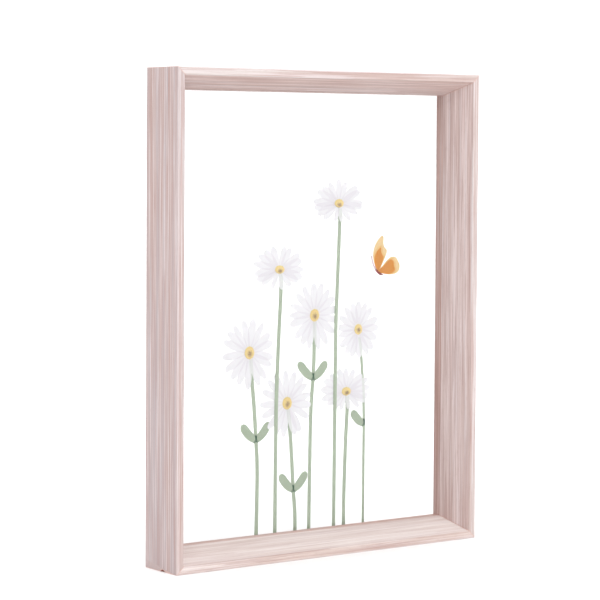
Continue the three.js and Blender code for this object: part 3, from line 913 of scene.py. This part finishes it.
class FLOWERFRAME_OT_petals(bpy.types.Operator):
    """Makes the seven rings of overlapping petals"""
    bl_idname = "flower_frame.petals"
    bl_label = "Petals"

    def execute(self, context):
        sizes = context.scene.flower_frame_specimens
        blade = petal_blade(sizes.petal_thickness)
        shape = petal_shape(blade, dried_petal(sizes))
        for number, daisy in enumerate(DAISIES, 1):
            node = f"daisy_{number}_petals"
            petals = self.petal_sizes(daisy, number, sizes)
            piece = new_object(f"petal_ring_{number}", self.petal_points(petals, sizes.petal_thickness))
            shape.run(piece, {"Petal Seed": number})
            self.store_overlaps(piece.data, petals)
            tidy_mesh(piece.data, 50)
            low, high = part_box(node)
            piece.data.transform(head_place(number, high.y))
            self.store_stems(piece.data, high.y, sizes)
            self.trim(piece, low, high)
            put_on_body(piece, node)
        bpy.data.objects.remove(blade)
        return {"FINISHED"}

    def petal_sizes(self, daisy, number, sizes):
        """The turn, length and width of each petal."""
        left, right, down, up = (MM * reach for reach in daisy["reach"])
        petals = []
        for n in range(sizes.petals):
            turned = (n + 0.22 * vary(n, number)) / sizes.petals
            angle = turned * 2 * math.pi + math.radians(daisy["turn"])
            across = math.cos(angle) * (right if math.cos(angle) > 0 else left)
            upwards = math.sin(angle) * (up if math.sin(angle) > 0 else down)
            reach = math.hypot(across, upwards) * (0.98 + 0.04 * vary(n, number + 7))
            full = sizes.petal_width * (0.9 + 0.1 * vary(n, number + 3))
            petals.append((math.atan2(upwards, across), reach, full * min(1, reach / FULL_PETAL)))
        return petals

    def petal_points(self, petals, thickness):
        """A point for each petal at the heart of the daisy, in one of three layers."""
        mesh = mesh_from("petal_points", [(0, 0, (n * 2 % 3) * thickness) for n in range(len(petals))])
        store(mesh, turn=[(0, 0, turn) for turn, _, _ in petals],
              size=[(reach, width, 1) for _, reach, width in petals])
        return mesh

    def store_overlaps(self, mesh, petals):
        """Stores how deep each point lies inside the outlines of the other petals."""
        blade_size = len(mesh.vertices) // len(petals)
        firsts, seconds = [], []
        for vertex in mesh.vertices:
            own = vertex.index // blade_size
            inside = [-1, -1]
            for n, (turn, reach, width) in enumerate(petals):
                along = (vertex.co.x * math.cos(turn) + vertex.co.y * math.sin(turn)) / reach
                if n != own and 0 < along < 1:
                    off = abs(vertex.co.y * math.cos(turn) - vertex.co.x * math.sin(turn))
                    inside.append(width * petal_half_width(along) - off)
            inside.sort(reverse=True)
            firsts.append(inside[0])
            seconds.append(inside[1])
        store(mesh, under_one=firsts, under_two=seconds)

    def store_stems(self, mesh, back, sizes):
        """Stores how deep each point lies inside the outline of a stem behind the petals."""
        lines = []
        for number, daisy in enumerate(DAISIES, 1):
            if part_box(f"daisy_{number}_stem")[1].y > back:
                line = [MM * point for point in reversed(smooth_line(daisy["stem"], 200))]
                lines.append(([point.y for point in line], line, stem_width(number, sizes) / 2))
        depths = []
        for vertex in mesh.vertices:
            depth = -1.0
            for heights, line, half_width in lines:
                place = bisect.bisect(heights, vertex.co.z)
                if 0 < place < len(line):
                    depth = max(depth, half_width - abs(line[place].x - vertex.co.x))
            depths.append(depth)
        store(mesh, over_stem=depths)

    def trim(self, piece, low, high):
        """Ends the petals where the solid ends, beside the tall stem."""
        for limit, outwards in ((low.x, -1), (high.x, 1)):
            trimmed = bmesh.new()
            trimmed.from_mesh(piece.data)
            everything = [*trimmed.verts, *trimmed.edges, *trimmed.faces]
            bmesh.ops.bisect_plane(trimmed, geom=everything, plane_co=(limit, 0, 0),
                                   plane_no=(outwards, 0, 0), clear_outer=True)
            open_edges = [edge for edge in trimmed.edges if edge.is_boundary]
            bmesh.ops.holes_fill(trimmed, edges=open_edges, sides=0)
            trimmed.to_mesh(piece.data)
            trimmed.free()


# Discs

# The florets and the dome under them keep inside this share of the disc's half width and height
DISC_FILL = 0.46


def disc_shape(material):
    """Lays florets in a sunflower spiral over a low dome."""
    shape = Shape("Floret disc", {
        "Florets": "Int", "Width": "Float", "Height": "Float", "Rise": "Float",
        "Floret Size": "Float", "Heart": "Vector", "Floret Seed": "Int"})
    given = shape.given
    line = shape.first("GeometryNodeMeshLine", {"Count": given["Florets"]}, mode="OFFSET")
    index = shape.first("GeometryNodeInputIndex")
    share = shape.math("DIVIDE", shape.math("ADD", index, 0.5), given["Florets"])
    radius = shape.math("SQRT", share)
    angle = shape.times(index, GOLDEN_ANGLE)
    across = shape.times(shape.math("COSINE", angle), radius)
    upwards = shape.times(shape.math("SINE", angle), radius)
    crown = shape.math("SQRT", shape.math("SUBTRACT", 1.0, shape.times(share, 0.94)))
    place = shape.joined(shape.times(across, shape.times(given["Width"], DISC_FILL)),
                         shape.times(upwards, shape.times(given["Height"], DISC_FILL)),
                         shape.times(crown, given["Rise"]))
    off = shape.add("ShaderNodeVectorMath", {0: shape.joined(across, upwards), 1: given["Heart"]},
                    operation="DISTANCE").outputs["Value"]
    points = shape.stored(shape.moved(line, place), "heart", shape.math("SUBTRACT", 1.0, off))
    floret = shape.first("GeometryNodeMeshIcoSphere", {"Radius": 1.0, "Subdivisions": 2})
    least, most = 2, 3
    chance = shape.add("FunctionNodeRandomValue", {least: 0.8, most: 1.2, "Seed": given["Floret Seed"]},
                       data_type="FLOAT")
    size = shape.times(chance.outputs[1], given["Floret Size"])
    florets = shape.first("GeometryNodeInstanceOnPoints", {
        "Points": points, "Instance": floret, "Scale": shape.joined(size, size, shape.times(size, 0.35))})
    joined = shape.add("GeometryNodeJoinGeometry", {"Geometry": florets})
    shape.tree.links.new(given["Geometry"], joined.inputs["Geometry"])
    return shape.end(joined.outputs[0], material)


def cushion(width, height, rise):
    """The low dome under the florets, flat at the back."""
    sides, rings = 40, 6
    vertices, faces = [(0, 0, 0), (0, 0, rise)], []
    for n in range(rings):
        turn = math.radians(90 * n / rings)
        for k in range(sides):
            angle = 2 * math.pi * k / sides
            vertices.append((DISC_FILL * width * math.cos(turn) * math.cos(angle),
                             DISC_FILL * height * math.cos(turn) * math.sin(angle), rise * math.sin(turn)))
    for k in range(sides):
        after = (k + 1) % sides
        faces.append((0, 2 + after, 2 + k))
        faces.append((1, 2 + (rings - 1) * sides + k, 2 + (rings - 1) * sides + after))
        for n in range(rings - 1):
            a, b = 2 + n * sides + k, 2 + n * sides + after
            faces.append((a, b, b + sides, a + sides))
    mesh = mesh_from("cushion", vertices, faces)
    store(mesh, heart=0.1)
    return mesh


class FLOWERFRAME_OT_discs(bpy.types.Operator):
    """Makes the seven yellow discs of packed florets"""
    bl_idname = "flower_frame.discs"
    bl_label = "Floret discs"

    def execute(self, context):
        sizes = context.scene.flower_frame_specimens
        shape = disc_shape(floret_yellow(sizes))
        for number in range(1, len(DAISIES) + 1):
            node = f"daisy_{number}_disc"
            low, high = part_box(node)
            width, thickness, height = high - low
            rise = 0.7 * thickness
            piece = new_object(f"floret_disc_{number}", cushion(width, height, rise))
            heart = (0.05, -0.15, 0) if height > width else (0.05, -0.35, 0)
            shape.run(piece, {
                "Florets": sizes.florets, "Width": width, "Height": height, "Rise": rise,
                "Floret Size": sizes.floret_size, "Heart": heart, "Floret Seed": number})
            for face in piece.data.polygons:
                face.use_smooth = True
            piece.data.transform(head_place(number, high.y))
            put_on_body(piece, node)
        return {"FINISHED"}


# Stems and leaves

def stem_shape(material):
    """Sweeps a ribbed flat oval along the line of a stem."""
    shape = Shape("Ribbed stem", {
        "Width": "Float", "Thickness": "Float", "Ribs": "Int", "Stations": "Int", "Joint": "Float",
        "Stem Seed": "Int"})
    given = shape.given
    place = shape.place()
    x, y, _ = shape.parts(place)
    path = shape.first("GeometryNodeResampleCurve", {"Curve": given["Geometry"], "Count": given["Stations"]})
    wave = shape.first("ShaderNodeTexNoise", {"W": given["Stem Seed"], "Vector": place, "Scale": 60.0},
                       noise_dimensions="4D")
    swell = shape.first("ShaderNodeMapRange", {"Value": wave, "To Min": 0.88, "To Max": 1.12})
    thick = shape.first("GeometryNodeSetCurveRadius", {"Curve": path, "Radius": swell})
    run = shape.add("GeometryNodeSplineParameter").outputs["Length"]
    circle = shape.first("GeometryNodeCurvePrimitiveCircle", {"Resolution": 36, "Radius": 1.0})
    rib = shape.math("COSINE", shape.times(shape.math("ARCTAN2", y, x), given["Ribs"]))
    bulge = shape.math("MULTIPLY_ADD", rib, 0.07, 0.93)
    flat = shape.joined(shape.times(given["Width"], 0.5), shape.times(given["Thickness"], 0.5))
    shaped = shape.vector("MULTIPLY", shape.vector("MULTIPLY", place, flat), shape.joined(bulge, bulge))
    profile = shape.moved(shape.stored(circle, "across", x), shaped)
    swept = shape.swept(shape.stored(thick, "along", run), profile)
    over_joint = shape.math("SUBTRACT", y, given["Joint"])
    stem_place = shape.joined(shape.named("across"), shape.named("along"), over_joint)
    return shape.end(shape.stored(swept, "stem_place", stem_place, "FLOAT_VECTOR"), material)


def stem_width(number, sizes):
    return sizes.thin_stem_width if number == THIN_DAISY else sizes.stem_width


class FLOWERFRAME_OT_stems(bpy.types.Operator):
    """Makes the seven ribbed stems"""
    bl_idname = "flower_frame.stems"
    bl_label = "Stems"

    def execute(self, context):
        sizes = context.scene.flower_frame_specimens
        shape = stem_shape(dried_stem(sizes))
        joints = {daisy: joint * MM for daisy, side, joint, _ in LEAVES if side == "left"}
        for number, daisy in enumerate(DAISIES, 1):
            node = f"daisy_{number}_stem"
            curve = bpy.data.curves.new("stem_line", "CURVE")
            curve.dimensions = "3D"
            line = smooth_line(daisy["stem"], 60)
            spline = curve.splines.new("POLY")
            spline.points.add(len(line) - 1)
            for point, place in zip(spline.points, line):
                point.co = (place.x * MM, place.y * MM, 0, 1)
            piece = shape.run(new_object(f"ribbed_stem_{number}", curve), {
                "Width": stem_width(number, sizes), "Thickness": node_size(node).y, "Ribs": 9,
                "Stations": 90, "Joint": joints.get(number, NO_JOINT) - LENS_DROP, "Stem Seed": number})
            stand_up(piece, node)
        return {"FINISHED"}


class FLOWERFRAME_OT_leaves(bpy.types.Operator):
    """Makes the seven small leaves"""
    bl_idname = "flower_frame.leaves"
    bl_label = "Leaves"

    def execute(self, context):
        sizes = context.scene.flower_frame_specimens
        material = dried_leaf(sizes)
        for number, side, joint, tip in LEAVES:
            node = f"daisy_{number}_leaf_{side}"
            stem = smooth_line(DAISIES[number - 1]["stem"], 400)
            root = min(stem, key=lambda point: abs(point.y - joint)).x
            foot = Vector((root, joint - FOOT_DROP / MM))
            bulge = Vector((-0.3 if side == "left" else 0.3, -0.5))
            mesh = self.leaf(foot, Vector(tip), bulge, node_size(node).y, sizes)
            stand_up(new_object(f"blunt_leaf_{number}_{side}", mesh, material), node)
        return {"FINISHED"}

    def leaf(self, foot, tip, bulge, thickness, sizes):
        """A blunt leaf that leaves its stem at a slant, full below and nearly straight above."""
        middle = (foot + tip) / 2 + bulge
        line = [MM * point for point in smooth_line((foot, middle, tip), 28)]
        full = sizes.leaf_width * min(1, MM * (tip - foot).length / FULL_LEAF)
        half_widths = []
        for n in range(len(line)):
            share = n / (len(line) - 1)
            blunt = min(1, max(0, (share - 0.7) / 0.3))
            opened = smoothstep(share, -0.5, 0.45)
            half_widths.append(max(0.05 * MM, full * opened * math.sqrt(1 - blunt ** 2) / 2))

        def height_at(share, across):
            rib = 0.5 * (1 - smoothstep(abs(across), 0.0, 0.16)) * (1 - 0.6 * share)
            return thickness * (0.18 + 0.14 * (1 - across ** 2) + 0.2 * rib)

        return ribbon(line, half_widths, height_at)


# The butterfly

def along_edge(point, a, b):
    """How far a point lies from an edge, and at what share of the edge it is nearest."""
    edge = b - a
    share = min(1, max(0, (point - a).dot(edge) / edge.length_squared))
    return (point - a - share * edge).length, share


def inside_distance(point, outline):
    """How far a point lies inside an outline; negative outside."""
    nearest = math.inf
    crossings = 0
    for a, b in zip(outline, outline[1:] + outline[:1]):
        nearest = min(nearest, along_edge(point, a, b)[0])
        if (a.y > point.y) != (b.y > point.y):
            crossings += point.x < a.x + (point.y - a.y) * (b.x - a.x) / (b.y - a.y)
    return nearest if crossings % 2 else -nearest


def wing_mesh(outline, patch, vein_ends, thickness):
    """A wing sheet with raised veins, and how far each point lies inside the patch."""
    rim = smooth_line(outline, 120, closed=True)
    patch_rim = smooth_line(patch, 60, closed=True)
    step, rim_clearance = 0.22, 0.12
    left, right = min(p.x for p in rim), max(p.x for p in rim)
    bottom, top = min(p.y for p in rim), max(p.y for p in rim)
    inner = []
    for n in range(int((right - left) / step) + 1):
        for k in range(int((top - bottom) / step) + 1):
            point = Vector((left + (n + 0.5 * (k % 2)) * step, bottom + k * step))
            if inside_distance(point, rim) > rim_clearance:
                inner.append(point)
    ring = [(n, (n + 1) % len(rim)) for n in range(len(rim))]
    points, _, triangles, *_ = delaunay_2d_cdt(rim + inner, ring, [], 1, 1e-6)
    ridges = []
    for point in points:
        ridge = 0.0
        for end in vein_ends:
            away, share = along_edge(point, WING_ROOT, Vector(end))
            ridge = max(ridge, (1 - smoothstep(away, 0.05, 0.26)) * (1 - 0.5 * share))
        ridges.append(ridge)
    lifts = [thickness * (0.3 + 0.2 * ridge) for ridge in ridges]
    faces = [tuple(face) for face in triangles]
    mesh = closed_sheet("wing", [MM * point for point in points], faces, lifts, [-lift for lift in lifts])
    patches = [MM * inside_distance(point, patch_rim) for point in points]
    store(mesh, patch=patches * 2, vein=ridges * 2)
    return mesh


class FLOWERFRAME_OT_butterfly(bpy.types.Operator):
    """Makes the butterfly's two wings and its body with the antennae"""
    bl_idname = "flower_frame.butterfly"
    bl_label = "Butterfly"

    def execute(self, context):
        sizes = context.scene.flower_frame_specimens
        material = scaled_wing(sizes)
        for name, (outline, patch, vein_ends) in WINGS.items():
            node = "butterfly_" + name
            mesh = wing_mesh(outline, patch, vein_ends, node_size(node).y)
            stand_up(new_object("scaled_" + name, mesh, material), node)
        body = new_object("furry_body", self.body(node_size("butterfly_body").y), furry_body(sizes))
        stand_up(body, "butterfly_body")
        return {"FINISHED"}

    def body(self, thickness):
        """The ringed body, which narrows into the antennae at one end and the tail at the other."""
        line = [MM * point for point in smooth_line(BUTTERFLY_BODY, 60)]
        half_widths, heights = [], []
        for n in range(len(line)):
            share = n / (len(line) - 1)
            full = 0.8 + 0.4 * smoothstep(share, 0.45, 0.7)
            full += (0.4 - full) * smoothstep(share, 0.85, 1)
            rings = 1 + 0.05 * math.sin(60 * share) * smoothstep(share, 0.6, 0.7)
            half_widths.append(0.5 * full * rings * MM)
            heights.append(min(0.5 * full * MM, 0.48 * thickness))

        def height_at(share, across):
            return heights[round(share * (len(heights) - 1))] * math.sqrt(max(0.02, 1 - across ** 2))

        mesh = ribbon(line, half_widths, height_at)
        shares = [0.0] * len(mesh.vertices)
        for loop in mesh.loops:
            shares[loop.vertex_index] = mesh.uv_layers["UVMap"].data[loop.index].uv[0]
        store(mesh, share=shares)
        return mesh


# The stage

class FLOWERFRAME_OT_stage(bpy.types.Operator):
    """Sets the pale floor, the soft light and the camera"""
    bl_idname = "flower_frame.stage"
    bl_label = "Stage"

    def execute(self, context):
        stage = context.scene.flower_frame_stage
        context.scene.view_settings.view_transform = "Standard"
        self.camera(context.scene)
        half = stage.floor_size / 2
        corners = [(-half, -half, 0), (half, -half, 0), (half, half, 0), (-half, half, 0)]
        floor = new_object("floor", mesh_from("floor", corners, [(0, 1, 2, 3)]), pale_floor(stage))
        self.surroundings(context.scene, stage)
        return {"FINISHED"}

    def camera(self, scene):
        """Looks from the front left, just above the middle, as the photograph does."""
        focal_length, sensor_width = 136.4, 36
        place = Vector((-0.62945, -0.83974, 0.18938))
        heading, dip, roll = 0.63539, 0.048991, -0.006006
        pixels_right, pixels_up = -0.5, -44.5
        ahead = Vector((math.sin(heading) * math.cos(dip), math.cos(heading) * math.cos(dip), -math.sin(dip)))
        level = Vector((math.cos(heading), -math.sin(heading), 0))
        below = ahead.cross(level)
        right = math.cos(roll) * level + math.sin(roll) * below
        down = math.cos(roll) * below - math.sin(roll) * level
        data = bpy.data.cameras.new("camera")
        data.lens = focal_length
        data.sensor_width = sensor_width
        data.shift_x = pixels_right / PHOTO_SIDE
        data.shift_y = pixels_up / PHOTO_SIDE
        camera = new_object("camera", data)
        turned = Matrix((right, -down, -ahead)).transposed()
        camera.matrix_world = Matrix.Translation(place) @ turned.to_4x4()
        scene.camera = camera

    def surroundings(self, scene, stage):
        """A bright backdrop behind the frame, a dimmer room in front of it, and soft light high up."""
        world = bpy.data.worlds.new("surroundings")
        world.use_nodes = True
        world.node_tree.nodes.clear()
        sky = Nodes(world.node_tree)
        direction = sky.add("ShaderNodeTexCoord").outputs["Generated"]
        _, away, up = sky.parts(direction)
        behind = sky.between(away, -0.35, 0.35)
        around = sky.math("MULTIPLY_ADD", behind, stage.backdrop - stage.room, stage.room)
        lit_above = sky.math("MULTIPLY_ADD", sky.math("MAXIMUM", up, 0.0), stage.overhead, around)
        facing = sky.add("ShaderNodeVectorMath", {0: direction, 1: stage.glow_place}, operation="DOT_PRODUCT")
        spread = sky.math("POWER", sky.math("MAXIMUM", facing.outputs["Value"], 0.0), 3.0)
        strength = sky.math("MULTIPLY_ADD", spread, stage.glow, lit_above)
        light = sky.first("ShaderNodeBackground", {"Color": (1, 1, 1, 1), "Strength": strength})
        sky.add("ShaderNodeOutputWorld", {"Surface": light})
        scene.world = world


OPERATORS = (
    FLOWERFRAME_OT_stage, FLOWERFRAME_OT_rails, FLOWERFRAME_OT_panes, FLOWERFRAME_OT_points,
    FLOWERFRAME_OT_petals, FLOWERFRAME_OT_discs, FLOWERFRAME_OT_stems, FLOWERFRAME_OT_leaves,
    FLOWERFRAME_OT_butterfly,
)


class FLOWERFRAME_PT_sidebar(bpy.types.Panel):
    """Lists the pieces of the flower frame and their settings."""
    bl_idname = "FLOWERFRAME_PT_sidebar"
    bl_label = "Flower Frame"
    bl_space_type = "VIEW_3D"
    bl_region_type = "UI"
    bl_category = "Flower Frame"

    def draw(self, context):
        for operator in OPERATORS:
            self.layout.operator(operator.bl_idname, text=operator.bl_label)
        for name, group in SETTINGS.items():
            box = self.layout.box()
            for setting in group.__annotations__:
                box.prop(getattr(context.scene, name), setting)


SETTINGS = {
    "flower_frame_moulding": FLOWERFRAME_PG_moulding,
    "flower_frame_specimens": FLOWERFRAME_PG_specimens,
    "flower_frame_stage": FLOWERFRAME_PG_stage,
}
CLASSES = (*SETTINGS.values(), *OPERATORS, FLOWERFRAME_PT_sidebar)


def register():
    for each in CLASSES:
        bpy.utils.register_class(each)
    for name, group in SETTINGS.items():
        setattr(bpy.types.Scene, name, PointerProperty(type=group))


def unregister():
    for name in SETTINGS:
        delattr(bpy.types.Scene, name)
    for each in reversed(CLASSES):
        bpy.utils.unregister_class(each)


def main():
    register()
    for operator in OPERATORS:
        group, name = operator.bl_idname.split(".")
        getattr(getattr(bpy.ops, group), name)()


if __name__ == "__main__":
    main()
